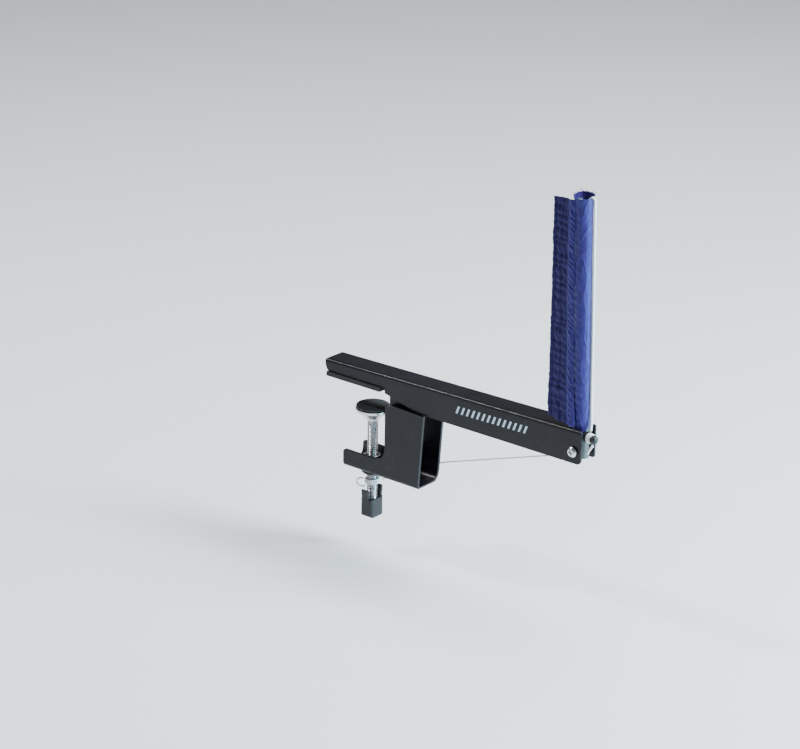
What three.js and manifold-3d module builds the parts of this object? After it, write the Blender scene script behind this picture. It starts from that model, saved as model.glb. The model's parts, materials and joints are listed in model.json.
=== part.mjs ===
// Table tennis net clamp: a C-clamp that grips the edge of the table, a channel arm that reaches out
// past the edge, and the net post that folds at the arm's outer end, with the sleeve and cord it wears.
//
// Millimetres. +X points out along the arm, +Y to the back, +Z up. The origin is the centre of the
// arm pad's underside, which rests on the table top.
import * as THREE from "three";
import { mergeVertices } from "three/addons/utils/BufferGeometryUtils.js";
import Module from "manifold-3d";

const wasm = await Module();
wasm.setup();

// ---- Driving dimensions ----
const GAP = 0.3; // between two pieces that touch on the real object
const ROUND = 40; // sides of a turned piece
const ARC = 5; // steps of a rounded corner

const TABLE_EDGE_X = 24; // from the origin out to the side of the table

const ARM = {
  inner: -48, outer: 148.6, backOuter: 147.4, topInner: 10.7, topOuter: 14, bottom: -7,
  overTable: 3, halfWidth: 8.4, sheet: 1.6, bend: 2.2,
};
const PAD = { inner: -46, outer: -2, thick: 2.7, halfWidth: 9.8, lipTop: 7.4 };
const JAW = {
  left: 2.5, right: 32.8, rightLow: 29.1, top: -6, topRight: -7.1, topLeft: -8.4, bottom: -56.8,
  tip: -31.1, tipTop: -45.1, throat: 9.5, halfWidth: 10.5, sheet: 1.8, frontBend: 3.6, backBend: 8,
};
const TAB = { left: 3, step: 4.5, right: 30, inside: 4.9, outside: 6.5, top: 4, stepTop: -7.6, bottom: -9.6 };
const DIMPLE = { x: 23.4, z: -37, radius: 6, depth: 0.7 };
const SCREW = { x: -15.8, radius: 3.45, bottom: -88.5, shoulder: -23.5, spigot: 2.5, spigotTop: -78.4 };
const CUP = { top: -16.3, bottom: -22, rim: 11, foot: 6.4, bore: 3.2 };
const FACING = { top: -14.5, radius: 10.6 };
const BUSH = { top: -48, radius: 5.8, rim: 7, bottom: -60, bore: 3.65 };
const KNOB = { top: -77, bottom: -89.2, halfX: 4.6, halfY: 6.7, corner: 3.2, earTop: -70.4, earReach: 7.9 };
const PIVOT = { x: 143, z: 0.3, shank: 1.9, hole: 2.15, head: 3.2 };
const LEAN = THREE.MathUtils.degToRad(2); // the net's pull leans the post inwards
const POST = { radius: 4.5, wall: 0.8, bottom: -5.6, top: 143.4 };
const SLEEVE = { inner: 4.75, outer: 5.2, bottom: 11, top: 152.3 };
const STRIP = {
  front: -5, back: -3.4, outer: -4.7, top: 150.6, bottom: 14.4, innerTop: -17.2, innerLow: -20.4, innerLowZ: 26,
  cornerX: -19.4, cornerZ: 18,
};
const PEG = { z: 8.6, turn: -19, collar: 6, wound: 6.9, end: 11.4, core: 1.7, flange: 3.4 };
const CORD = 0.8; // radius of the net's top cord
const STRING = 0.5; // radius of the net's bottom string
const SLOT = 6.8; // half width of the post's slot in the arm

const COLOURS = {
  blackPaint: [0x2b2b2e, 0.35, 0.3],
  blackRubber: [0x1b1b1c, 0.9, 0],
  blackPlastic: [0x242427, 0.45, 0],
  zinc: [0xb9bcc0, 0.3, 0.9],
  greyPaint: [0x4a4c50, 0.4, 0.4],
  blueCloth: [0x3f73c4, 0.6, 0],
  navyCloth: [0x2c2a5c, 0.8, 0],
  whiteCord: [0xe9e9e6, 0.8, 0],
};

// ---- Helpers ----
/** The closed solid that a geometry's faces bound. */
function solid(geometry) {
  const bare = geometry.index ? geometry.toNonIndexed() : geometry.clone();
  bare.deleteAttribute("normal");
  bare.deleteAttribute("uv");
  const merged = mergeVertices(bare, 1e-4);
  return new wasm.Manifold(new wasm.Mesh({
    numProp: 3,
    vertProperties: new Float32Array(merged.attributes.position.array),
    triVerts: new Uint32Array(merged.index.array),
  }));
}

/** A named mesh with one of the object's materials. */
function piece(name, body, colourName) {
  const mesh = body.getMesh();
  const geometry = new THREE.BufferGeometry();
  geometry.setAttribute("position", new THREE.BufferAttribute(mesh.vertProperties, 3));
  geometry.setIndex(new THREE.BufferAttribute(mesh.triVerts, 1));
  geometry.computeVertexNormals();
  const [color, roughness, metalness] = COLOURS[colourName];
  const made = new THREE.Mesh(geometry, new THREE.MeshStandardMaterial({ color, roughness, metalness }));
  made.name = name;
  return made;
}

/** An outline through corners [x, y, radius], with the corners rounded. */
function roundedOutline(corners) {
  const shape = new THREE.Shape();
  corners.forEach(([x, y, radius = 0], i) => {
    const here = new THREE.Vector2(x, y);
    const before = new THREE.Vector2(...corners.at(i - 1).slice(0, 2)).sub(here).normalize();
    const after = new THREE.Vector2(...corners[(i + 1) % corners.length].slice(0, 2)).sub(here).normalize();
    const cut = radius / Math.tan(before.angleTo(after) / 2);
    const start = here.clone().addScaledVector(before, cut);
    const end = here.clone().addScaledVector(after, cut);
    if (i === 0) shape.moveTo(start.x, start.y);
    else shape.lineTo(start.x, start.y);
    if (radius > 0) shape.quadraticCurveTo(x, y, end.x, end.y);
  });
  return shape;
}

function extruded(shape, depth) {
  return new THREE.ExtrudeGeometry(shape, { depth, bevelEnabled: false, curveSegments: ARC });
}

/** An outline drawn in X and Z, made thick from y0 to y1. */
function sideways(shape, y0, y1) {
  return solid(extruded(shape, y1 - y0).rotateX(Math.PI / 2).translate(0, y1, 0));
}

/** An outline drawn in Y and Z, made long from x0 to x1, then put through one more matrix. */
function lengthways(shape, x0, x1, after = new THREE.Matrix4()) {
  const turn = new THREE.Matrix4().makeBasis(
    new THREE.Vector3(0, 1, 0), new THREE.Vector3(0, 0, 1), new THREE.Vector3(1, 0, 0));
  return solid(extruded(shape, x1 - x0).applyMatrix4(turn).translate(x0, 0, 0).applyMatrix4(after));
}

/** An outline drawn in X and Y, made tall from z0 to z1. */
function upright(shape, z0, z1) {
  return solid(extruded(shape, z1 - z0).translate(0, 0, z0));
}

function block(x0, x1, y0, y1, z0, z1) {
  const box = new THREE.BoxGeometry(x1 - x0, y1 - y0, z1 - z0);
  return solid(box.translate((x0 + x1) / 2, (y0 + y1) / 2, (z0 + z1) / 2));
}

/** A turned piece about Z, from a profile [radius, z] that runs from the bottom to the top. */
function turned(profile, sides = ROUND) {
  const points = profile.map(([r, z]) => new THREE.Vector2(r, z));
  return solid(new THREE.LatheGeometry(points, sides).rotateX(Math.PI / 2));
}

/** A turned ring about Z, from rInner to rOuter and z0 to z1. */
function ring(rInner, rOuter, z0, z1, sides = ROUND) {
  return turned([[rInner, z0], [rOuter, z0], [rOuter, z1], [rInner, z1], [rInner, z0]], sides);
}

/** A rod about Z. */
function rod(radius, z0, z1, sides = ROUND) {
  return turned([[0, z0], [radius, z0], [radius, z1], [0, z1]], sides);
}

const alongX = (body) => body.rotate([0, 90, 0]);
const alongY = (body) => body.rotate([-90, 0, 0]);

/** A cord of eight sides along a smooth curve through points. */
function cordAlong(points, steps, radius = CORD) {
  const section = new THREE.Shape();
  for (let i = 0; i < 8; i++) {
    const turn = (i * Math.PI) / 4;
    const [x, y] = [radius * Math.cos(turn), radius * Math.sin(turn)];
    if (i === 0) section.moveTo(x, y);
    else section.lineTo(x, y);
  }
  const extrudePath = new THREE.CatmullRomCurve3(points.map((p) => new THREE.Vector3(...p)));
  return solid(new THREE.ExtrudeGeometry(section, { steps, extrudePath, curveSegments: 1 }));
}

// ---- Arm ----
/** How far the arm's top climbs for each millimetre along it. */
const ARM_SLOPE = (ARM.topOuter - ARM.topInner) / (ARM.outer - ARM.inner);

function armOutline() {
  const middle = (ARM.topInner + ARM.overTable) / 2;
  return roundedOutline([
    [ARM.inner, ARM.topInner, 1], [ARM.inner, middle, 1],
    [ARM.inner + 1.6, ARM.overTable, 2], [0, ARM.overTable], [0.5, -0.4],
    [28, ARM.bottom], [ARM.outer, ARM.bottom, 3], [ARM.outer, ARM.topOuter, 2],
  ]);
}

function armSection() {
  const [w, t] = [ARM.halfWidth, ARM.sheet];
  const [low, inside] = [ARM.bottom - 5, ARM.topInner - t];
  return roundedOutline([
    [-w, low], [-w + t, low], [-w + t, inside, 0.6], [w - t, inside, 0.6],
    [w - t, low], [w, low], [w, ARM.topInner, ARM.bend], [-w, ARM.topInner, ARM.bend],
  ]);
}

function armChannel() {
  const side = sideways(armOutline(), -ARM.halfWidth - 1, ARM.halfWidth + 1);
  const slotEnd = rod(SLOT, 5, 20).translate([PIVOT.x, 0, 0]);
  const slot = block(PIVOT.x, ARM.outer + 1, -SLOT, SLOT, 5, 20);
  const backEnd = block(ARM.backOuter, ARM.outer + 1, 0, ARM.halfWidth + 1, -20, 20);
  const screwHole = alongY(rod(PIVOT.hole, -20, 20, 24)).translate([PIVOT.x, 0, PIVOT.z]);
  const climb = new THREE.Matrix4().makeShear(0, ARM_SLOPE, 0, 0, 0, 0)
    .setPosition(0, 0, -ARM_SLOPE * ARM.inner);
  return lengthways(armSection(), ARM.inner - 1, ARM.outer + 1, climb)
    .intersect(side).subtract(slotEnd).subtract(slot).subtract(backEnd).subtract(screwHole);
}

function armPad() {
  const outline = roundedOutline([
    [PAD.inner, 0, 1], [PAD.outer, 0, 1], [PAD.outer, PAD.thick, 0.8], [PAD.inner + 3.4, PAD.thick, 1],
    [PAD.inner + 2.6, PAD.lipTop, 0.4], [PAD.inner + 1.2, PAD.lipTop, 0.4], [PAD.inner, 3, 2],
  ]);
  const inside = ARM.halfWidth - ARM.sheet - GAP;
  const wide = sideways(outline, -PAD.halfWidth, PAD.halfWidth);
  const lipSides = block(PAD.inner - 1, PAD.inner + 5, inside, 20, PAD.thick, 20)
    .add(block(PAD.inner - 1, PAD.inner + 5, -20, -inside, PAD.thick, 20));
  const tongue = block(PAD.inner + 4, PAD.outer - 2, -inside, inside, 1, 5.5);
  return wide.subtract(lipSides).add(tongue);
}

// ---- Clamp bracket ----
function bracketOutline() {
  return roundedOutline([
    [JAW.left, JAW.topLeft, 1.5], [JAW.left + 5, JAW.top, 2], [JAW.right, JAW.topRight],
    [JAW.rightLow, JAW.bottom, 1.5], [JAW.tip, JAW.bottom, 1],
    [JAW.tip, JAW.tipTop, 2], [JAW.left, JAW.tipTop, JAW.throat],
  ]);
}

function bracketSection() {
  const [w, t, front, back] = [JAW.halfWidth, JAW.sheet, JAW.frontBend, JAW.backBend];
  return roundedOutline([
    [-w, 0], [-w, JAW.bottom, front], [w, JAW.bottom, back], [w, 0],
    [w - t, 0], [w - t, JAW.bottom + t, back - t], [-w + t, JAW.bottom + t, front - t], [-w + t, 0],
  ]);
}

/** The tab that joggles in from one side of the bracket and stands inside the arm. */
function bracketTab(side) {
  const plate = block(TAB.left, TAB.right, TAB.inside, TAB.outside, TAB.bottom, TAB.top);
  const step = block(TAB.step, TAB.right, TAB.inside, JAW.halfWidth - 1, TAB.bottom, TAB.stepTop);
  const tab = plate.add(step);
  return side > 0 ? tab : tab.mirror([0, 1, 0]);
}

function clampBracket() {
  const side = sideways(bracketOutline(), -JAW.halfWidth - 1, JAW.halfWidth + 1);
  const bushHole = rod(BUSH.radius + GAP, -70, -50).translate([SCREW.x, 0, 0]);
  const inner = JAW.halfWidth - JAW.sheet;
  const dimple = alongY(rod(DIMPLE.radius, inner - 1, inner + DIMPLE.depth, 24))
    .translate([DIMPLE.x, 0, DIMPLE.z]);
  return lengthways(bracketSection(), JAW.tip - 1, JAW.right + 1)
    .intersect(side).add(bracketTab(-1)).add(bracketTab(1)).subtract(bushHole).subtract(dimple);
}

function screwBush() {
  return turned([
    [BUSH.bore, BUSH.bottom], [BUSH.rim - 1, BUSH.bottom], [BUSH.rim, BUSH.bottom + 1],
    [BUSH.rim, JAW.bottom - GAP], [BUSH.radius, JAW.bottom - GAP],
    [BUSH.radius, BUSH.top - 0.8], [BUSH.radius - 0.8, BUSH.top],
    [BUSH.bore + 0.5, BUSH.top], [BUSH.bore, BUSH.top - 0.5], [BUSH.bore, BUSH.bottom],
  ]);
}

// ---- Clamp screw, its knob and its swivel cup ----
function screwRod() {
  const neck = CUP.bore - GAP;
  return turned([
    [0, SCREW.bottom], [SCREW.spigot, SCREW.bottom], [SCREW.spigot, SCREW.spigotTop],
    [SCREW.radius, SCREW.spigotTop], [SCREW.radius, SCREW.shoulder], [neck, SCREW.shoulder],
    [neck, -20], [4.4, -20], [4.4, -18.6], [3.6, -18], [0, -18],
  ]);
}

function wingKnob() {
  const { halfX, halfY, corner, top, bottom, earTop, earReach } = KNOB;
  const plan = roundedOutline([
    [-halfX, -halfY, corner], [halfX, -halfY, corner], [halfX, halfY, corner], [-halfX, halfY, corner]]);
  const taper = roundedOutline([
    [-halfY + 1, bottom, 1.6], [halfY - 1, bottom, 1.6], [halfY, top + 0.5, 1],
    [earReach, earTop, 0.8], [earReach - 2, earTop, 0.8], [SCREW.radius + 1.4, top, 1.5],
    [-SCREW.radius - 1.4, top, 1.5], [2 - earReach, earTop, 0.8], [-earReach, earTop, 0.8],
    [-halfY, top + 0.5, 1],
  ]);
  const ears = upright(roundedOutline([
    [-2.6, -earReach, 1], [2.6, -earReach, 1], [2.6, earReach, 1], [-2.6, earReach, 1]]),
    top - 1, earTop);
  const body = upright(plan, bottom, top).add(ears);
  const bore = rod(SCREW.spigot + GAP, SCREW.bottom - GAP, 0);
  const rodHole = rod(SCREW.radius + GAP, SCREW.spigotTop - GAP, 0);
  return body.intersect(lengthways(taper, -10, 10)).subtract(bore).subtract(rodHole);
}

function pressureCup() {
  return turned([
    [CUP.bore, CUP.bottom], [CUP.foot, CUP.bottom], [CUP.rim, CUP.top - 1.6], [CUP.rim, CUP.top],
    [5, CUP.top], [5, -20.3], [CUP.bore, -20.3], [CUP.bore, CUP.bottom],
  ]);
}

// ---- Pivot at the arm's outer end ----
function pivotScrew() {
  const face = ARM.halfWidth + GAP;
  const profile = turned([
    [0, -PIVOT.head / 2 - 10.4], [PIVOT.shank - 0.4, -12], [PIVOT.shank, -11.6], [PIVOT.shank, face],
    [PIVOT.head, face], [PIVOT.head, face + 0.9], [PIVOT.head - 0.9, face + 1.9], [0, face + 2.2],
  ], 32);
  const cross = block(-1.7, 1.7, -0.4, 0.4, face + 1.1, face + 3)
    .add(block(-0.4, 0.4, -1.7, 1.7, face + 1.1, face + 3));
  return profile.subtract(cross).rotate([90, 0, 0]);
}

function pivotNut() {
  const from = ARM.halfWidth + GAP;
  return alongY(rod(4.04, from, from + 3, 6).subtract(rod(PIVOT.hole, 0, 20, 24)));
}

function pivotSpacer(side) {
  const [near, far] = [POST.radius + GAP, ARM.halfWidth - ARM.sheet - GAP];
  const washer = alongY(ring(PIVOT.hole, 4.1, near, far, 24));
  return side > 0 ? washer : washer.rotate([0, 0, 180]);
}

// ---- Post, in its own frame: the pivot is the origin and +Z runs up the tube ----
const atPeg = (body) => body.rotate([0, 0, PEG.turn]).translate([0, 0, PEG.z]);

function postTube() {
  const inner = POST.radius - POST.wall;
  const cross = alongY(rod(PIVOT.hole, -10, 10, 24));
  const pegHole = atPeg(alongX(rod(PEG.core + 0.1, 0, 10, 20)));
  return ring(inner, POST.radius, POST.bottom, POST.top).subtract(cross).subtract(pegHole);
}

function footPlug() {
  const radius = POST.radius - POST.wall - GAP;
  const body = turned([[0, -5.2], [radius - 0.5, -5.2], [radius, -4.7], [radius, 5], [0, 5]], 32);
  return body.subtract(alongY(rod(PIVOT.hole, -10, 10, 24)));
}

function postCap() {
  const inner = POST.radius - POST.wall - GAP;
  const top = POST.top + GAP;
  const groove = block(-10, 10, -1, 1, top + 0.7, top + 5);
  return turned([
    [0, top - 7], [inner - 0.4, top - 7], [inner, top - 6.4], [inner, top],
    [POST.radius, top], [POST.radius, top + 1], [POST.radius - 0.7, top + 1.6], [0, top + 1.6],
  ], 32).subtract(groove);
}

function pegSpool() {
  return atPeg(alongX(turned([
    [0, 2.6], [PEG.core, 2.6], [PEG.core, PEG.collar], [PEG.flange, PEG.collar],
    [PEG.flange, PEG.wound - GAP], [PEG.core, PEG.wound - GAP], [PEG.core, PEG.end], [0, PEG.end],
  ], 24)));
}

function pegHead() {
  const from = PEG.end + GAP;
  return atPeg(alongX(turned([
    [0, from], [2.7, from], [2.7, from + 1], [2.2, from + 2], [1.2, from + 2.6], [0, from + 2.8],
  ], 24)));
}

function pegWraps() {
  return atPeg(alongX(ring(PEG.core + 0.2, 3.1, PEG.wound, PEG.end - 0.1, 24)));
}

/** The cloth tube, cut away round the peg and nicked at the rim where the cord crosses it. */
function netSleeve() {
  const round = PEG.flange + 0.9;
  const notch = atPeg(alongX(rod(round, 2, 12, 20)).add(block(2, 12, -round, round, -PEG.z, 0)));
  const nick = block(3, 7, -1, 2, SLEEVE.top - 2.4, SLEEVE.top + 1);
  return ring(SLEEVE.inner, SLEEVE.outer, SLEEVE.bottom, SLEEVE.top, 32).subtract(notch).subtract(nick);
}

function sleeveStrip() {
  const outline = roundedOutline([
    [STRIP.cornerX, STRIP.cornerZ], [STRIP.outer, STRIP.bottom], [STRIP.outer, STRIP.top],
    [STRIP.innerTop, STRIP.top], [STRIP.innerLow, STRIP.innerLowZ],
  ]);
  return sideways(outline, STRIP.front, STRIP.back);
}

// ---- The net's top cord ----
/** From the knot in the sleeve's mouth, over its rim and down beside the sleeve to the peg. */
function cordPostRun() {
  return cordAlong([
    [-0.6, -0.3, 151.1], [1, 0, 151.2], [3, 0.3, 151.4], [4.9, 0.8, 151.5], [6.1, 1.4, 150.8], [6.2, 1.8, 149],
    [6, 1.95, 146], [6, 1.95, 138], [6.1, 1.6, 80], [6.25, 1, 30], [6.9, 0.2, 18], [7.8, -1.3, 14.4],
    [8.3, -2.4, 13],
  ], 42);
}

function topKnot() {
  return turned([[0, -1.5], [1.2, -1.2], [1.6, 0], [1.2, 1.2], [0, 1.5]], 12)
    .rotate([0, 90, 0]).translate([-2.5, -0.6, 151]);
}

/** The free end, from the wraps' underside down beside the foot of the post. */
function cordPegTail() {
  return cordAlong([[10.4, -3.5, 4.4], [9.2, -3.1, 3], [7.6, -2.6, 0.9], [5.9, -2.1, -1.6]], 8);
}

// ---- The net's bottom string ----
/** From under the pivot's back spacer, out below the arm, along the bracket and in to the screw. */
const STRING_RUN = [
  [144.4, 5.65, -4.8], [142, 5.7, -5.3], [139, 5.8, -6.2], [133, 6, -8.1], [110, 7.2, -16.4],
  [80, 8.8, -26.9], [50, 10.4, -37.4], [34, 11.4, -43.1], [22, 11.9, -48], [10, 12, -53],
  [0, 11.3, -57.8], [-5, 9.2, -61.6], [-8.6, 6.4, -64.1], [-10.9, 4.4, -65],
];

const WRAPS = { inner: 3.75, outer: 4.9, bottom: -67.8, top: -63.3 };

function stringWraps() {
  return ring(WRAPS.inner, WRAPS.outer, WRAPS.bottom, WRAPS.top, 24).translate([SCREW.x, 0, 0]);
}

function stringBow() {
  return cordAlong([
    [-4.7, -3.4, -64.8], [-6.1, -4.4, -64.4], [-7.5, -5.5, -65.5], [-7.8, -5.8, -67.3], [-6.8, -5.5, -68.9],
    [-5, -4.7, -69.4], [-3.6, -4.2, -69.3],
  ], 22, STRING).translate([SCREW.x, 0, 0]);
}

function stringKnot() {
  return turned([[0, -1.1], [0.9, -0.8], [1.2, 0], [0.9, 0.8], [0, 1.1]], 12)
    .rotate([0, 80, 30]).translate([SCREW.x - 2.2, -5.9, -68.6]);
}

// ---- The whole object ----
const atScrew = (body) => body.translate([SCREW.x, 0, 0]);
const atPivot = (body) => body.translate([PIVOT.x, 0, PIVOT.z]);

const group = new THREE.Group();
const fixed = new THREE.Group();
fixed.position.x = TABLE_EDGE_X;
fixed.add(
  piece("arm_channel", armChannel(), "blackPaint"),
  piece("arm_pad", armPad(), "blackRubber"),
  piece("clamp_bracket", clampBracket(), "blackPaint"),
  piece("screw_bush", atScrew(screwBush()), "blackPaint"),
  piece("pivot_screw", atPivot(pivotScrew()), "zinc"),
  piece("pivot_nut", atPivot(pivotNut()), "zinc"),
  piece("pivot_spacer_front", atPivot(pivotSpacer(-1)), "blackPlastic"),
  piece("pivot_spacer_back", atPivot(pivotSpacer(1)), "blackPlastic"),
  piece("string_run", cordAlong(STRING_RUN, 60, STRING), "whiteCord"),
  piece("clamp_screw", atScrew(screwRod()), "zinc"),
  piece("wing_knob", atScrew(wingKnob()), "blackPlastic"),
  piece("pressure_cup", atScrew(pressureCup()), "zinc"),
  piece("pressure_facing", atScrew(rod(FACING.radius, CUP.top + GAP, FACING.top)), "blackRubber"),
  piece("cup_washer", atScrew(ring(CUP.bore, 5.2, SCREW.shoulder + GAP, CUP.bottom - GAP)), "zinc"),
  piece("string_wraps", stringWraps(), "whiteCord"),
  piece("string_bow", stringBow(), "whiteCord"),
  piece("string_knot", stringKnot(), "whiteCord"),
);

const post = new THREE.Group();
post.position.set(PIVOT.x, 0, PIVOT.z);
post.rotation.y = -LEAN;
post.add(
  piece("post_tube", postTube(), "greyPaint"),
  piece("post_foot_plug", footPlug(), "blackPlastic"),
  piece("post_cap", postCap(), "blackPlastic"),
  piece("peg_spool", pegSpool(), "blackPlastic"),
  piece("peg_head", pegHead(), "blackPlastic"),
  piece("peg_wraps", pegWraps(), "whiteCord"),
  piece("net_sleeve", netSleeve(), "blueCloth"),
  piece("sleeve_strip", sleeveStrip(), "navyCloth"),
  piece("cord_post_run", cordPostRun(), "whiteCord"),
  piece("cord_top_knot", topKnot(), "whiteCord"),
  piece("cord_peg_tail", cordPegTail(), "whiteCord"),
);
fixed.add(post);
group.add(fixed);

export default group;
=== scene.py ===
"""Table tennis net clamp: the looks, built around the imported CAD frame."""
import json
import math

import bpy
from mathutils import Matrix, Vector, noise


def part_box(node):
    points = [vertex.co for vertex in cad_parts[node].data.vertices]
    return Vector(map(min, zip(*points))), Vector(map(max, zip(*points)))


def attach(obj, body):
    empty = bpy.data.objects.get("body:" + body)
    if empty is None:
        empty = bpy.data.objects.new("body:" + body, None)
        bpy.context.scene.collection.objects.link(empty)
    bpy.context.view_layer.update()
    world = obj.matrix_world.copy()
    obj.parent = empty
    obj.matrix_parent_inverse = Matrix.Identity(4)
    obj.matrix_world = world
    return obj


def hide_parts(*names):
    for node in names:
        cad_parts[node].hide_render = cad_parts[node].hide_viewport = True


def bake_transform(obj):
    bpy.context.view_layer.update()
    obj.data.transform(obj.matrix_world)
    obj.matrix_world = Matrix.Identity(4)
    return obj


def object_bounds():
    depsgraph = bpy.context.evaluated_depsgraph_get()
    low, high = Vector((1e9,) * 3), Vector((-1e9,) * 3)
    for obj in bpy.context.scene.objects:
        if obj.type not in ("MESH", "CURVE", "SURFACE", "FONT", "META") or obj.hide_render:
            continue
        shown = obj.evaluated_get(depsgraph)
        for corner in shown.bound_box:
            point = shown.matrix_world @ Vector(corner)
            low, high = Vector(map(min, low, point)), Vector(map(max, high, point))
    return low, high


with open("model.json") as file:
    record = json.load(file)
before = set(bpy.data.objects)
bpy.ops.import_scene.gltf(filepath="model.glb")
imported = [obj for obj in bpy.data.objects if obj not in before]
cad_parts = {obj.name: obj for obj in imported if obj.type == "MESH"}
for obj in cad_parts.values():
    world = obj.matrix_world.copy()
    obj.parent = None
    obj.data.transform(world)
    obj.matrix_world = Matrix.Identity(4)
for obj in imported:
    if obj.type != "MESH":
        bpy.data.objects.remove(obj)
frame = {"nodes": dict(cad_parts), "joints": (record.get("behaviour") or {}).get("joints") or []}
CAD_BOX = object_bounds()
MM = 0.001

# ---- Where things are, from the frame ----
JOINTS = {j["name"]: j for j in frame["joints"]}
PIVOT = Vector(JOINTS["post_fold"]["pos_m"])
SCREW_AXIS = Vector((JOINTS["screw_turn"]["pos_m"][0], 0, 0))
POST_LEAN = math.radians(2)
POST_PLACE = Matrix.Translation(PIVOT) @ Matrix.Rotation(-POST_LEAN, 4, "Y")
ARM_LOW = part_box("arm_channel")[0]
TABLE_EDGE = 0.024

# ---- Sizes in mm ----
PITCH = 1.25
CORD_RADIUS = 0.8
STRING_RADIUS = 0.5
PEG_Z, PEG_TURN = 8.6, math.radians(-19)
PEG_FROM, PEG_TO, PEG_WIND = 6.9, 11.3, 2.3


# ---- Helpers ----
def post_point(p):
    """A point in the post's own frame, in mm, as a point of the row frame in metres."""
    return POST_PLACE @ (Vector(p) * MM)


def table_point(p):
    """A point measured from the table's edge, in mm, as a point of the row frame in metres."""
    return Vector(p) * MM + Vector((TABLE_EDGE, 0, 0))


def make_object(name, points, faces, material, uvs=None, smooth=True):
    mesh = bpy.data.meshes.new(name)
    mesh.from_pydata([tuple(p) for p in points], [], faces)
    if uvs:
        layer = mesh.uv_layers.new(name="UVMap")
        for loop in mesh.loops:
            layer.data[loop.index].uv = uvs[loop.vertex_index]
    mesh.polygons.foreach_set("use_smooth", [smooth] * len(mesh.polygons))
    mesh.update()
    made = bpy.data.objects.new(name, mesh)
    bpy.context.scene.collection.objects.link(made)
    made.data.materials.append(material)
    return made


def grid_faces(rows, columns, closed=False, flip=False):
    """Quads of a grid of rows by columns points; closed joins the last column to the first."""
    faces = []
    for i in range(rows - 1):
        for j in range(columns if closed else columns - 1):
            k = (j + 1) % columns
            quad = (i * columns + j, i * columns + k, (i + 1) * columns + k, (i + 1) * columns + j)
            faces.append(quad[::-1] if flip else quad)
    return faces


def smooth_path(points, step):
    """Points about step apart on a Catmull-Rom curve through points."""
    made = []
    padded = [2 * points[0] - points[1], *points, 2 * points[-1] - points[-2]]
    for i in range(1, len(padded) - 2):
        a, b, c, d = padded[i - 1:i + 3]
        count = max(2, math.ceil((c - b).length / step))
        for k in range(count):
            t = k / count
            made.append(0.5 * (2 * b + (c - a) * t + (2 * a - 5 * b + 4 * c - d) * t * t
                               + (3 * b - a - 3 * c + d) * t ** 3))
    made.append(points[-1])
    return made


def braided_tube(name, path, radius, material, sides=20, thin_for=0.0):
    """A round braided cord along a path, with round ends, drawn thin for its first thin_for metres."""
    thinned, fade = 0.6, 1.5 * MM
    lobes, lobe_height, lay = 8, 0.055, radius * 0.45
    end_rings = [(-0.55, 0.0), (-0.42, 0.55), (-0.2, 0.86)]
    side = Vector((0, 1, 0.3))
    along = 0.0
    count = len(path)
    rings = []
    for i, p in enumerate(path):
        ahead = path[min(i + 1, count - 1)] - path[max(i - 1, 0)]
        ahead.normalize()
        side = (side - ahead * side.dot(ahead)).normalized()
        rings.append((p, ahead, side.copy(), along))
        if i < count - 1:
            along += (path[i + 1] - p).length
    first, last = rings[0], rings[-1]
    full = [(first[0] + first[1] * radius * (a + 0.2), *first[1:], s) for a, s in end_rings]
    full += [(*ring, 1 - thinned * max(0, min(1, (thin_for - ring[3]) / fade))) for ring in rings]
    full += [(last[0] - last[1] * radius * (a + 0.2), *last[1:], s) for a, s in reversed(end_rings)]
    points, uvs = [], []
    for p, ahead, out, run, share in full:
        other = ahead.cross(out)
        for j in range(sides):
            turn = 2 * math.pi * j / sides
            crossed = math.cos(lobes * turn + run / lay) * math.cos(lobes * turn - run / lay)
            r = radius * share * (1 + lobe_height * crossed) * 0.98
            points.append(p + (out * math.cos(turn) + other * math.sin(turn)) * r)
            uvs.append((j / sides, run / (radius * 6)))
    return make_object(name, points, grid_faces(len(full), sides, closed=True, flip=True), material, uvs)


def finish_edges(node, width, segments, angle):
    """Merges the imported faces' corners and rounds the sharp edges by width mm, in modifiers."""
    node.data.polygons.foreach_set("use_smooth", [True] * len(node.data.polygons))
    weld = node.modifiers.new("weld", "WELD")
    weld.merge_threshold = 2e-5
    bevel = node.modifiers.new("bevel", "BEVEL")
    bevel.width = width * MM
    bevel.segments = segments
    bevel.limit_method = "ANGLE"
    bevel.angle_limit = math.radians(angle)
    bevel.harden_normals = True
    weighted = node.modifiers.new("weighted", "WEIGHTED_NORMAL")
    weighted.keep_sharp = True


def dress(node_name, material, width=0.12, segments=2, angle=28):
    node = frame["nodes"][node_name]
    node.data.materials.clear()
    node.data.materials.append(material)
    finish_edges(node, width, segments, angle)


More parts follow.
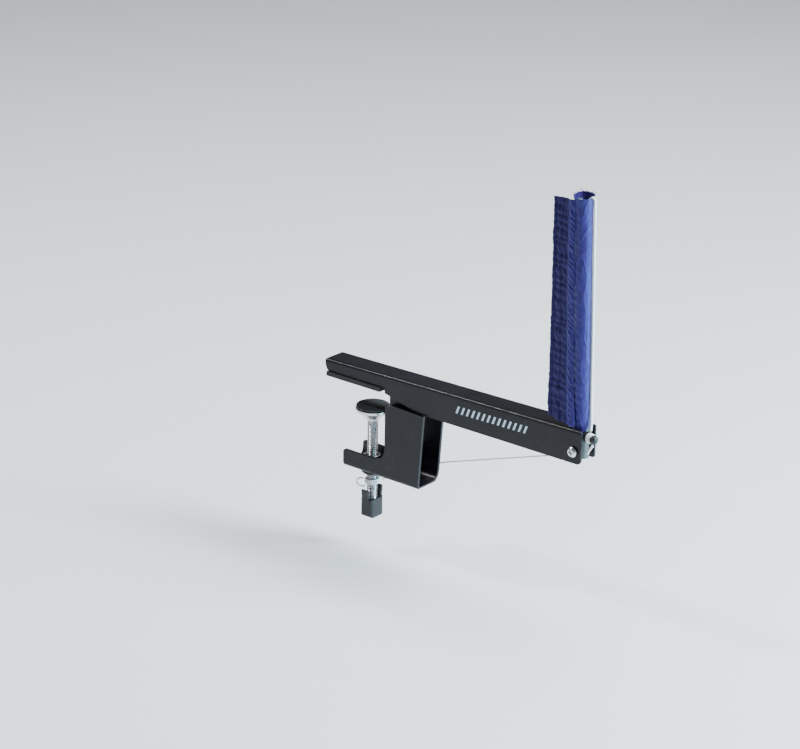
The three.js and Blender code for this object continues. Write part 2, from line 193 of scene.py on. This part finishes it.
# ---- Materials ----
class Shader:
    """A node material with short calls for the nodes that the looks need."""

    def __init__(self, name):
        self.material = bpy.data.materials.new(name)
        self.material.use_nodes = True
        self.tree = self.material.node_tree
        self.surface = self.tree.nodes["Principled BSDF"]
        self.place = self.add("ShaderNodeTexCoord").outputs["Object"]

    def add(self, kind, **settings):
        made = self.tree.nodes.new(kind)
        for key, value in settings.items():
            setattr(made, key, value)
        return made

    def link(self, source, target):
        self.tree.links.new(source, target)

    def set(self, **values):
        for key, value in values.items():
            self.surface.inputs[key.replace("_", " ")].default_value = value

    def noise(self, scale, detail=4.0, roughness=0.55, where=None):
        made = self.add("ShaderNodeTexNoise")
        made.inputs["Scale"].default_value = scale
        made.inputs["Detail"].default_value = detail
        made.inputs["Roughness"].default_value = roughness
        self.link(where or self.place, made.inputs["Vector"])
        return made.outputs["Fac"]

    def stretched(self, scale, where=None):
        made = self.add("ShaderNodeMapping")
        made.inputs["Scale"].default_value = scale
        self.link(where or self.place, made.inputs["Vector"])
        return made.outputs["Vector"]

    def spread(self, source, low, high, from_low=0.0, from_high=1.0):
        made = self.add("ShaderNodeMapRange")
        made.inputs["From Min"].default_value = from_low
        made.inputs["From Max"].default_value = from_high
        made.inputs["To Min"].default_value = low
        made.inputs["To Max"].default_value = high
        self.link(source, made.inputs["Value"])
        return made.outputs["Result"]

    def math(self, operation, a, b=None):
        made = self.add("ShaderNodeMath", operation=operation)
        for socket, value in zip(made.inputs, (a, b)):
            if value is None:
                continue
            if isinstance(value, (int, float)):
                socket.default_value = value
            else:
                self.link(value, socket)
        return made.outputs["Value"]

    def mix(self, share, a, b):
        made = self.add("ShaderNodeMix", data_type="RGBA")
        for socket, value in ((made.inputs[0], share), (made.inputs[6], a), (made.inputs[7], b)):
            if isinstance(value, (int, float)):
                socket.default_value = value
            elif isinstance(value, tuple):
                socket.default_value = (*value, 1)
            else:
                self.link(value, socket)
        return made.outputs[2]

    def bump(self, height, strength, distance_mm, before=None):
        made = self.add("ShaderNodeBump")
        made.inputs["Strength"].default_value = strength
        made.inputs["Distance"].default_value = distance_mm * MM
        self.link(height, made.inputs["Height"])
        if before:
            self.link(before, made.inputs["Normal"])
        return made.outputs["Normal"]


def black_paint():
    s = Shader("black_paint")
    cloud = s.noise(45, 5)
    tone = s.mix(s.spread(cloud, 0, 1, 0.35, 0.7), (0.0045, 0.0042, 0.0062), (0.0085, 0.008, 0.0112))
    s.link(tone, s.surface.inputs["Base Color"])
    smear = s.noise(160, 6, where=s.stretched((1, 1, 2.5)))
    s.link(s.spread(smear, 0.26, 0.4, 0.3, 0.72), s.surface.inputs["Roughness"])
    s.link(s.bump(s.noise(1500, 2), 0.07, 0.04), s.surface.inputs["Normal"])
    s.set(Specular_IOR_Level=0.24)
    return s.material


def grey_paint():
    s = Shader("grey_paint")
    tone = s.mix(s.noise(90, 5), (0.05, 0.055, 0.058), (0.08, 0.085, 0.088))
    s.link(tone, s.surface.inputs["Base Color"])
    s.link(s.spread(s.noise(300, 4), 0.36, 0.56), s.surface.inputs["Roughness"])
    s.link(s.bump(s.noise(1700, 2), 0.15, 0.05), s.surface.inputs["Normal"])
    s.set(Metallic=0.25)
    return s.material


def zinc():
    s = Shader("zinc")
    tone = s.mix(s.noise(380, 4), (0.42, 0.42, 0.44), (0.72, 0.72, 0.74))
    s.link(tone, s.surface.inputs["Base Color"])
    s.link(s.spread(s.noise(900, 5), 0.16, 0.36), s.surface.inputs["Roughness"])
    s.link(s.bump(s.noise(2600, 3), 0.12, 0.03), s.surface.inputs["Normal"])
    s.set(Metallic=1.0)
    return s.material


def black_rubber():
    s = Shader("black_rubber")
    tone = s.mix(s.noise(250, 5), (0.012, 0.012, 0.013), (0.028, 0.028, 0.03))
    s.link(tone, s.surface.inputs["Base Color"])
    s.link(s.spread(s.noise(700, 3), 0.72, 0.92), s.surface.inputs["Roughness"])
    s.link(s.bump(s.noise(2200, 4), 0.35, 0.08), s.surface.inputs["Normal"])
    return s.material


def black_plastic():
    s = Shader("black_plastic")
    tone = s.mix(s.noise(200, 5), (0.0065, 0.007, 0.008), (0.013, 0.0135, 0.015))
    s.link(tone, s.surface.inputs["Base Color"])
    s.link(s.spread(s.noise(500, 4), 0.28, 0.44), s.surface.inputs["Roughness"])
    s.link(s.bump(s.noise(3200, 3), 0.25, 0.04), s.surface.inputs["Normal"])
    s.set(Specular_IOR_Level=0.35)
    return s.material


def weave(s, threads, where):
    """A plain weave's height over a UV place, with threads to the unit."""
    parts = []
    for direction in ("X", "Y"):
        wave = s.add("ShaderNodeTexWave", bands_direction=direction)
        wave.inputs["Scale"].default_value = threads
        s.link(where, wave.inputs["Vector"])
        parts.append(wave.outputs["Fac"])
    return s.math("MULTIPLY", parts[0], parts[1])


def cloth(name, dark, light, sheen, tint, roughness, gloss):
    """A plainly woven cloth, with its sheen and its gloss both of the colour tint."""
    s = Shader(name)
    uv = s.add("ShaderNodeUVMap", uv_map="UVMap").outputs["UV"]
    tone = s.noise(300, 5)
    threads = weave(s, 60, uv)
    share = s.math("ADD", s.math("MULTIPLY", tone, 0.7), s.math("MULTIPLY", threads, 0.35))
    s.link(s.mix(s.spread(share, 0, 1, 0.2, 0.85), dark, light), s.surface.inputs["Base Color"])
    first = s.bump(threads, 0.35, 0.06)
    s.link(s.bump(s.noise(900, 4), 0.35, 0.12, first), s.surface.inputs["Normal"])
    s.set(Roughness=roughness, Sheen_Weight=sheen, Sheen_Roughness=0.42, Specular_IOR_Level=gloss)
    s.surface.inputs["Sheen Tint"].default_value = (*tint, 1)
    s.surface.inputs["Specular Tint"].default_value = (*tint, 1)
    return s.material


def white_cord():
    s = Shader("white_cord")
    uv = s.add("ShaderNodeUVMap", uv_map="UVMap").outputs["UV"]
    strands = s.add("ShaderNodeTexWave", bands_direction="DIAGONAL")
    strands.inputs["Scale"].default_value = 5
    strands.inputs["Distortion"].default_value = 1.5
    s.link(uv, strands.inputs["Vector"])
    strand_share = s.math("MULTIPLY", strands.outputs["Fac"], 0.5)
    tone = s.math("ADD", strand_share, s.math("MULTIPLY", s.noise(900), 0.5))
    s.link(s.mix(tone, (0.66, 0.665, 0.67), (0.9, 0.9, 0.885)), s.surface.inputs["Base Color"])
    s.link(s.bump(tone, 0.5, 0.12), s.surface.inputs["Normal"])
    s.set(Roughness=0.75, Sheen_Weight=0.3, Subsurface_Weight=0.12)
    s.surface.inputs["Subsurface Radius"].default_value = (0.0008, 0.0008, 0.0008)
    return s.material


def print_ink():
    s = Shader("print_ink")
    s.link(s.mix(s.noise(1400, 4), (0.4, 0.55, 0.7), (0.62, 0.75, 0.86)), s.surface.inputs["Base Color"])
    s.link(s.spread(s.noise(800), 0.4, 0.6), s.surface.inputs["Roughness"])
    return s.material


PAINT = black_paint()
GREY = grey_paint()
ZINC = zinc()
RUBBER = black_rubber()
PLASTIC = black_plastic()
BLUE = cloth("blue_cloth", dark=(0.033, 0.0085, 0.078), light=(0.06, 0.018, 0.165), sheen=0.2,
             tint=(0.0, 0.5, 1.0), roughness=0.42, gloss=0.5)
NAVY = cloth("navy_cloth", dark=(0.01, 0.0075, 0.042), light=(0.032, 0.025, 0.115), sheen=0.2,
             tint=(0.5, 0.5, 1.0), roughness=0.7, gloss=0.3)
CORD = white_cord()
INK = print_ink()


# ---- Carried-over CAD nodes ----
def dress_metalwork():
    dress("arm_channel", PAINT, 0.22, 3, 24)
    dress("clamp_bracket", PAINT, 0.25, 3, 24)
    dress("arm_pad", RUBBER, 0.2)
    dress("screw_bush", PAINT, 0.15)
    for name in ("pivot_screw", "pivot_nut", "pressure_cup", "cup_washer"):
        dress(name, ZINC, 0.12)
    dress("pressure_facing", RUBBER, 0.25)
    for name in ("pivot_spacer_front", "pivot_spacer_back", "post_foot_plug", "post_cap", "peg_spool"):
        dress(name, PLASTIC, 0.12)
    dress("peg_head", PLASTIC, 0.05)
    dress("post_tube", GREY, 0.12)
    dress("wing_knob", PLASTIC, 0.45, 4, 30)


# ---- Clamp screw with its thread ----
def threaded_rod():
    """The screw turned from its foot to its head, with rows of None where its thread is cut."""
    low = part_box("clamp_screw")[0].z / MM
    radius, core, sides = 3.45, 2.85, 48
    thread_from, thread_to, run_out = -78.4, -24.5, 8
    spigot, neck, head = 2.5, 2.9, 4.4
    rows = [(low, 0.0), (low, spigot - 0.3), (low + 0.3, spigot), (thread_from - 0.2, spigot),
            (thread_from, 3.0)]
    steps = round((thread_to - thread_from) / (PITCH / 8))
    plain = len(rows)
    rows += [(thread_from + (i + 1) * (thread_to - thread_from) / steps, None) for i in range(steps)]
    shoulder = [(-24.2, radius), (-23.7, radius), (-23.5, radius - 0.2), (-23.5, neck), (-20, neck),
                (-20, head - 0.15), (-19.85, head), (-18.6, head), (-18, 3.6), (-18, 0)]
    rows += shoulder
    points, uvs = [], []
    for i, (z, r) in enumerate(rows):
        for j in range(sides):
            turn = 2 * math.pi * j / sides
            here = r
            if r is None:
                phase = ((z / PITCH) - j / sides) % 1
                tooth = 1 - abs(2 * phase - 1)
                fade = min(1, (i - plain + 1) / run_out, (len(rows) - len(shoulder) - i) / run_out)
                flank = min(1, max(0, (tooth - 0.12) / 0.76))
                here = radius - (radius - core) * (1 - flank) * max(fade, 0)
            points.append(SCREW_AXIS + Vector((math.cos(turn) * here, math.sin(turn) * here, z)) * MM)
            uvs.append((j / sides, z / 10))
    made = make_object("threaded_rod", points, grid_faces(len(rows), sides, closed=True), ZINC, uvs)
    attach(made, "clamp_screw")
    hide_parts("clamp_screw")


def bush_ring():
    """The bright ring round the bush's mouth, where the screw has rubbed the paint away."""
    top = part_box("screw_bush")[1].z / MM
    bore, sides = 3.75, 64
    profile = [(bore, top + 0.02), (5.2, top + 0.02), (5.35, top + 0.12), (5.2, top + 0.3),
               (4.2, top + 0.3), (bore, top + 0.1), (bore, top + 0.02)]
    points = []
    for r, z in profile:
        for j in range(sides):
            turn = 2 * math.pi * j / sides
            points.append(SCREW_AXIS + Vector((r * math.cos(turn), r * math.sin(turn), z)) * MM)
    made = make_object("bush_ring", points, grid_faces(len(profile), sides, closed=True), ZINC)
    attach(made, "frame")


# ---- Cloth ----
SLEEVE_TOP, SLEEVE_LOW, SLEEVE_RADIUS = 152.3, 11.9, 5.12
# Turns about the post, from its outer side: the cord's nick in the rim, where the cloth is tight, the
# seam, the back and the front of the rim, and the tip and the cut-away of the lower edge.
NICK_TURN, TIGHT_TURN, SEAM_TURN = math.radians(12), math.radians(28), math.radians(-140)
BACK_TURN, FRONT_TURN = math.radians(130), math.radians(-60)
TIP_TURN, PEG_SIDE_TURN = math.radians(-52), math.radians(-8)


def bell(value, width):
    """1 where value is 0, falling away to 0 on both sides over about twice the width."""
    return math.exp(-(value / width) ** 2)


def turn_gap(turn, other):
    """The angle between two turns, from -pi to pi."""
    return (turn - other + math.pi) % (2 * math.pi) - math.pi


def crease(turn, z, scale, seed):
    """1 along winding lines on the sleeve and 0 away from them."""
    place = Vector((math.cos(turn) * 1.1, math.sin(turn) * 1.1, z * scale + seed))
    return bell(noise.noise(place), 0.07)


def sleeve_radius(turn, z):
    """The sleeve's radius in mm: tight on the tube, with slack folds that run round and up it."""
    round_x, round_y = math.cos(turn), math.sin(turn)
    slack = 1 - 0.75 * bell(turn_gap(turn, TIGHT_TURN), 0.8)
    broad = noise.noise(Vector((round_x * 0.9, round_y * 0.9, z * 0.06)))
    fine = noise.noise(Vector((round_x * 3, round_y * 3, z * 0.16)))
    folds = 0.55 * crease(turn, z, 0.05, 3.7) + 0.35 * crease(turn, z, 0.09, 9.1)
    near_seam = bell(turn_gap(turn, SEAM_TURN), 1.1)
    pleat = math.sin(2 * math.pi * (z + 2.6 * turn_gap(turn, SEAM_TURN)) / 4.6 + 2 * broad)
    pleats = 0.34 * pleat * near_seam * (0.3 + 0.7 * bell(z - 12, 34))
    mouth = bell(SLEEVE_TOP - z, 4.2)
    held_in = 1 - 0.9 * bell(turn_gap(turn, NICK_TURN), 0.5)
    uneven = noise.noise(Vector((round_x * 2, round_y * 2, 5)))
    flare = mouth * held_in * (1.1 + 0.3 * math.cos(turn - 0.6) + 0.5 * uneven)
    return SLEEVE_RADIUS + slack * (0.22 * broad + 0.42 * folds + 0.04 * fine) + pleats + flare


def sleeve_bottom(turn):
    """The sleeve's lower edge in mm: it hangs to a tip at the front and is cut away over the peg."""
    tip = 2.6 * bell(turn_gap(turn, TIP_TURN), 0.42)
    over_peg = 1.6 * bell(turn_gap(turn, PEG_SIDE_TURN), 0.5)
    return SLEEVE_LOW - tip + over_peg + 0.2 * math.sin(5 * turn)


def sleeve_top(turn):
    """The sleeve's upper edge in mm: frayed, high at the back, and pressed down under the cord."""
    fray = noise.noise(Vector((math.cos(turn) * 5, math.sin(turn) * 5, 0)))
    fine_fray = noise.noise(Vector((math.cos(turn) * 16, math.sin(turn) * 16, 4)))
    lift = 1.1 * bell(turn_gap(turn, BACK_TURN), 1.3)
    dip = 0.7 * bell(turn_gap(turn, FRONT_TURN), 1.2)
    nick = 2.0 * bell(turn_gap(turn, NICK_TURN), 0.3)
    return SLEEVE_TOP - 0.3 + lift - dip + 0.45 * fray + 0.35 * fine_fray - nick


def net_sleeve():
    sides, rows = 160, 460
    points, uvs = [], []
    for i in range(rows):
        for j in range(sides):
            turn = 2 * math.pi * j / sides
            top, low = sleeve_top(turn), sleeve_bottom(turn)
            z = low + (top - low) * i / (rows - 1)
            r = sleeve_radius(turn, z)
            points.append(post_point((r * math.cos(turn), r * math.sin(turn), z)))
            uvs.append((j / sides * 3.2, z / 10))
    made = make_object("net_sleeve_cloth", points, grid_faces(rows, sides, closed=True), BLUE, uvs)
    thick = made.modifiers.new("thickness", "SOLIDIFY")
    thick.thickness = 0.3 * MM
    thick.offset = -1
    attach(made, "post")
    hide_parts("net_sleeve")


def rim_threads():
    """Loose threads that stand off the sleeve's frayed rim."""
    points, faces = [], []
    count, steps, sides = 26, 7, 5
    for k in range(count):
        turn = 2 * math.pi * (k + 0.35 * math.sin(7.3 * k)) / count
        if abs(turn_gap(turn, NICK_TURN)) < 0.45:
            continue
        reach = 1.1 + 1.1 * abs(math.sin(3.7 * k))
        bend = 1.1 * math.sin(5.1 * k)
        top = sleeve_top(turn)
        base = len(points)
        for i in range(steps):
            share = i / (steps - 1)
            angle = turn + bend * share * share * 0.35
            r = sleeve_radius(turn, top) - 0.12 + 0.7 * share * math.cos(2.3 * k) * share
            centre = Vector((r * math.cos(angle), r * math.sin(angle), top - 0.3 + reach * share))
            width = 0.17 * (1 - 0.55 * share)
            for j in range(sides):
                a = 2 * math.pi * j / sides
                side = Vector((math.cos(angle), math.sin(angle), 0)) * math.cos(a)
                other = Vector((-math.sin(angle), math.cos(angle), 0)) * math.sin(a)
                points.append(post_point(centre + (side + other) * width))
        faces += [tuple(base + v for v in quad) for quad in grid_faces(steps, sides, closed=True)]
        faces += [tuple(base + v for v in reversed(range(sides))),
                  tuple(base + (steps - 1) * sides + v for v in range(sides))]
    made = make_object("sleeve_rim_threads", points, faces, BLUE, [(0.1, 0.1)] * len(points))
    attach(made, "post")


STRIP_TOP, STRIP_Y, STRIP_WIDTH = 150.4, -4.5, 15.8
ROPE_WIDTH = 4.8
STITCH_SHARES = (0.2, 0.62)


def strip_hang(z):
    """Where the strip hangs, front to back, in mm: it swings forward towards its lower edge."""
    return STRIP_Y - 1.9 * max(0, min(1, (52 - z) / 38)) ** 2


def strip_outer(z):
    """The strip's outer edge in mm, which overlaps the sleeve more where the strip swings forward."""
    return -2.5 + 1.2 * (STRIP_Y - strip_hang(z))


def strip_inner(z):
    """The strip's inner edge in mm: it widens down the post and turns in at its lower corner."""
    wobble = 0.45 * noise.noise(Vector((3.3, z * 0.12, 0)))
    wobble += 0.3 * noise.noise(Vector((1.1, z * 0.5, 0)))
    widest, corner = -20.2, 26
    if z > corner:
        return widest + 3.2 * ((z - corner) / 124.6) ** 0.9 + wobble
    return widest + (corner - z) / 8 + wobble


def strip_bottom(share):
    """The strip's slanted lower edge in mm, from its inner edge at 0 to the sleeve at 1."""
    return 18.2 - 3.9 * share + 0.35 * math.sin(11 * share) * math.sin(5 * share)


def strip_front(x, z, inner):
    """How far the strip stands to the front, in mm, at a place x across it and z up it."""
    wobble = noise.noise(Vector((0.4, z * 0.09, 0)))
    uneven = noise.noise(Vector((7.4, z * 0.21, 0)))
    hang = strip_hang(z)
    rope_low = strip_outer(z) - ROPE_WIDTH + 0.8 * wobble + 0.5 * uneven
    if x > rope_low:
        share = min(1, (x - rope_low) / (strip_outer(z) - rope_low))
        hump = math.sin(math.pi * (0.06 + 0.9 * share))
        lay = (z + 1.3 * (x - rope_low)) / 4.1 + 1.1 * wobble + 0.7 * uneven
        fold = 0.5 + 0.5 * math.sin(2 * math.pi * lay)
        crumple = 0.35 * noise.noise(Vector((x * 0.5, z * 0.4, 2)))
        return hang - 0.1 - 1.2 * hump * (0.6 + (0.25 + 0.35 * abs(uneven)) * fold + crumple)
    share = (x - inner) / (rope_low - inner)
    puff = math.sin(math.pi * min(1, max(0, share))) ** 0.7
    beat = math.sin(2 * math.pi * (z + 1.5 * share) / 4.8 + 3.5 * wobble + 2 * uneven)
    crumple = noise.noise(Vector((x * 0.45, z * 0.3, 6)))
    streaks = math.sin(19 * share + 5 * noise.noise(Vector((5.5, z * 0.13, 0))))
    rows = min(1, sum(bell(share - place, 0.045) for place in STITCH_SHARES))
    hem = 0.45 * bell(share - 0.05, 0.06)
    gather = (0.3 + 0.5 * abs(uneven)) * beat + 0.55 * crumple + 0.2 * streaks
    return hang - 0.15 - puff * gather * (1 - 0.7 * rows) + 0.4 * rows - hem


def sleeve_strip():
    """The gathered strip beside the sleeve, with the rope of cloth along its outer edge in blue."""
    columns, rows = 110, 600
    points, uvs = [], []
    for i in range(rows):
        for j in range(columns):
            share = j / (columns - 1)
            low = strip_bottom(share)
            z = low + (STRIP_TOP - low) * i / (rows - 1)
            inner = strip_inner(z)
            x = inner + (strip_outer(z) - inner) * share
            points.append(post_point((x, strip_front(x, z, inner), z)))
            uvs.append((share * 1.6, z / 10))
    made = make_object("sleeve_strip_cloth", points, grid_faces(rows, columns), NAVY, uvs)
    made.data.materials.append(BLUE)
    rope_from = 1 - ROPE_WIDTH / STRIP_WIDTH
    for k, face in enumerate(made.data.polygons):
        face.material_index = int((k % (columns - 1)) / (columns - 1) > rope_from)
    thick = made.modifiers.new("thickness", "SOLIDIFY")
    thick.thickness = 0.45 * MM
    thick.offset = 1
    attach(made, "post")
    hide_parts("sleeve_strip")


def stitches():
    """Short stitches in two rows down the strip."""
    points, faces = [], []
    z = 24.0
    while z < 148:
        inner = strip_inner(z)
        for place in STITCH_SHARES:
            x = inner + (strip_outer(z) - ROPE_WIDTH - inner) * place
            front = strip_front(x, z, inner) - 0.62
            base = len(points)
            for dz in (0, 0.45, 0.9, 1.35):
                lift = 0.12 * math.sin(math.pi * dz / 1.35)
                for j in range(6):
                    a = math.pi * j / 3
                    corner = (x + 0.17 * math.cos(a), front - lift + 0.1 * math.sin(a), z + dz)
                    points.append(post_point(corner))
            faces += [tuple(base + v for v in quad) for quad in grid_faces(4, 6, closed=True)]
            faces += [tuple(base + v for v in reversed(range(6))), tuple(base + 18 + v for v in range(6))]
        z += 2.4
    made = make_object("strip_stitches", points, faces, NAVY, [(0.1, 0.1)] * len(points))
    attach(made, "post")


# ---- Cord ----
def cord_piece(name, path, body, node, radius=CORD_RADIUS, thin_for=0.0):
    made = braided_tube(name, path, radius * MM, CORD, thin_for=thin_for)
    if body:
        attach(made, body)
    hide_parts(node)
    return made


def sunk(p):
    """A place on the cord's route, set lower where it is inside the sleeve's mouth."""
    inside = max(0, 1 - math.hypot(p[0], p[1]) / 5)
    return (p[0], p[1], p[2] - (2.6 * inside if p[2] > 140 else 0))


def post_cord():
    route = [(-0.6, -0.3, 151.1), (1, 0, 151.2), (3, 0.3, 151.4), (4.9, 0.8, 151.5), (6.1, 1.4, 150.8),
             (6.2, 1.8, 149), (6, 1.95, 146), (6, 1.95, 138), (6.1, 1.6, 80), (6.25, 1, 30), (6.9, 0.2, 18),
             (7.8, -1.3, 14.4), (8.3, -2.4, 13)]
    cord_piece("cord_up_the_post", smooth_path([post_point(sunk(p)) for p in route], 0.4 * MM), "post",
               "cord_post_run", thin_for=6.5 * MM)


def helix(centre, axis, out, radius, start, end, turns, first_turn=0.0):
    """Points on a helix about an axis through centre, from start to end along it."""
    other = axis.cross(out)
    count = round(turns * 40)
    made = []
    for i in range(count + 1):
        angle = 2 * math.pi * (turns * i / count + first_turn)
        along = start + (end - start) * i / count
        made.append(centre + axis * along + (out * math.cos(angle) + other * math.sin(angle)) * radius)
    return made


def peg_cord():
    outward = Vector((math.cos(PEG_TURN), math.sin(PEG_TURN), 0))
    axis = (POST_PLACE.to_3x3() @ outward).normalized()
    across = (POST_PLACE.to_3x3() @ Vector((-outward.y, outward.x, 0))).normalized()
    inset = CORD_RADIUS + 0.05
    path = helix(post_point((0, 0, PEG_Z)), axis, across, PEG_WIND * MM, (PEG_FROM + inset) * MM,
                 (PEG_TO - inset) * MM, turns=2.6)
    cord_piece("cord_round_the_peg", path, "post", "peg_wraps")


def tail_cord():
    route = [(10.4, -3.5, 4.4), (9.2, -3.1, 3), (7.6, -2.6, 0.9), (5.9, -2.1, -1.6)]
    cord_piece("cord_from_the_peg", smooth_path([post_point(p) for p in route], 0.4 * MM), "post",
               "cord_peg_tail")


def long_string():
    route = [(144.4, 5.65, -4.8), (142, 5.7, -5.3), (139, 5.8, -6.2), (133, 6, -8.1), (110, 7.2, -16.4),
             (80, 8.8, -26.9), (50, 10.4, -37.4), (34, 11.4, -43.1), (22, 11.9, -48), (10, 12, -53),
             (0, 11.3, -57.8), (-5, 9.2, -61.6), (-8.6, 6.4, -64.1), (-10.9, 4.4, -65)]
    path = smooth_path([table_point(p) for p in route], 0.5 * MM)
    made = cord_piece("string_to_the_screw", path, None, "string_run", STRING_RADIUS)
    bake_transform(made)


def screw_string():
    path = helix(SCREW_AXIS, Vector((0, 0, 1)), Vector((0, 1, 0)), 4.25 * MM, -67.2 * MM, -63.9 * MM,
                 turns=2.9, first_turn=0.1)
    cord_piece("string_round_the_screw", path, "pressure_pad", "string_wraps", STRING_RADIUS)
    bow = [(-4.7, -3.4, -64.8), (-6.1, -4.4, -64.4), (-7.5, -5.5, -65.5), (-7.8, -5.8, -67.3),
           (-6.8, -5.5, -68.9), (-5, -4.7, -69.4), (-3.6, -4.2, -69.3)]
    cord_piece("string_bow_loop", smooth_path([SCREW_AXIS + Vector(p) * MM for p in bow], 0.3 * MM),
               "pressure_pad", "string_bow", STRING_RADIUS)


def knot(name, centre, size, body, node, seed, radius):
    """A small overhand knot: a closed trefoil of cord drawn tight."""
    path = []
    for i in range(91):
        t = 2 * math.pi * i / 90 + seed
        p = Vector((math.sin(t) + 2 * math.sin(2 * t), math.cos(t) - 2 * math.cos(2 * t), -math.sin(3 * t)))
        path.append(centre + p * (size / 3.4) * MM)
    made = braided_tube(name, path, radius * MM, CORD, sides=12)
    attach(made, body)
    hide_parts(node)


def print_bars():
    """A plain row of slim slanted ticks printed on the arm, in place of lettering."""
    face = ARM_LOW.y - 0.03 * MM
    points, faces = [], []
    count, first, pitch = 14, 56.0, 3.9
    width, slant, low, high, rise = 1.5, 1.8, 1.4, 6.2, 0.0168
    for i in range(count):
        x = first + i * pitch
        up = rise * i * pitch
        base = len(points)
        for px, pz in ((x, low), (x + width, low), (x + width + slant, high), (x + slant, high)):
            points.append(Vector((TABLE_EDGE + px * MM, face, (pz + up) * MM)))
        faces.append((base, base + 1, base + 2, base + 3))
    made = make_object("arm_print", points, faces, INK, smooth=False)
    thick = made.modifiers.new("thickness", "SOLIDIFY")
    thick.thickness = 0.02 * MM
    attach(made, "frame")


# ---- Stage ----
def stage():
    """A pale floor, low enough for the knob to clear it with the screw fully open, and soft sky."""
    knob_room = 0.0235
    floor_z = CAD_BOX[0].z - knob_room
    bpy.ops.mesh.primitive_plane_add(size=12, location=(0, 0, floor_z))
    floor = bpy.context.object
    floor.name = "floor"
    s = Shader("floor")
    tone = s.mix(s.noise(3, 3), (0.86, 0.86, 0.865), (0.9, 0.9, 0.905))
    s.link(tone, s.surface.inputs["Base Color"])
    s.set(Roughness=0.6)
    floor.data.materials.append(s.material)
    world = bpy.data.worlds.new("world")
    bpy.context.scene.world = world
    world.use_nodes = True
    sky = world.node_tree.nodes["Background"]
    sky.inputs["Color"].default_value = (0.9, 0.92, 1, 1)
    sky.inputs["Strength"].default_value = 0.22


def area_light(name, place, target, size, power, colour):
    data = bpy.data.lights.new(name, "AREA")
    data.shape = "RECTANGLE"
    data.size, data.size_y = size
    data.energy = power
    data.color = colour
    made = bpy.data.objects.new(name, data)
    made.location = place
    made.rotation_euler = (Vector(target) - Vector(place)).to_track_quat("-Z", "Y").to_euler()
    bpy.context.scene.collection.objects.link(made)


def lights():
    middle = (0.1, 0, 0.02)
    area_light("key", (1.25, 0.45, 0.95), middle, (0.5, 0.7), 56, (0.8, 0.92, 1))
    area_light("side", (1.2, 0.42, 0.06), middle, (0.22, 0.5), 34, (0.3, 0.78, 1))
    area_light("top", (0.2, 0.55, 1.7), middle, (1.4, 0.9), 30, (1, 1, 1))
    area_light("front", (-0.9, -1.5, 0.9), middle, (1.2, 1.2), 3, (0.9, 0.9, 1))
    area_light("edge", (-0.85, -0.5, 1.1), middle, (0.12, 0.12), 11, (1, 1, 1))


def camera():
    azimuth, elevation, roll = math.radians(39.33), math.radians(20.87), math.radians(0.91)
    place = (0.9443, -1.1165, 0.5612)
    back = Vector((math.sin(azimuth) * math.cos(elevation), -math.cos(azimuth) * math.cos(elevation),
                   math.sin(elevation)))
    data = bpy.data.cameras.new("camera")
    data.lens = 113.2
    data.sensor_width = 36
    data.clip_start, data.clip_end = 0.05, 50
    made = bpy.data.objects.new("camera", data)
    turn = (-back).to_track_quat("-Z", "Y").to_matrix().to_4x4()
    made.matrix_world = Matrix.Translation(place) @ turn @ Matrix.Rotation(roll, 4, "Z")
    bpy.context.scene.collection.objects.link(made)
    bpy.context.scene.camera = made


camera()
dress_metalwork()
threaded_rod()
bush_ring()
net_sleeve()
rim_threads()
sleeve_strip()
stitches()
post_cord()
peg_cord()
tail_cord()
long_string()
screw_string()
knot("cord_top_stopper", post_point((-2.5, -0.6, 149.3)), 1.0, "post", "cord_top_knot", 0.3, 0.36)
knot("string_stopper", SCREW_AXIS + Vector((-2.2, -5.9, -68.6)) * MM, 1.1, "pressure_pad",
     "string_knot", 0.9, 0.38)
print_bars()
stage()
lights()
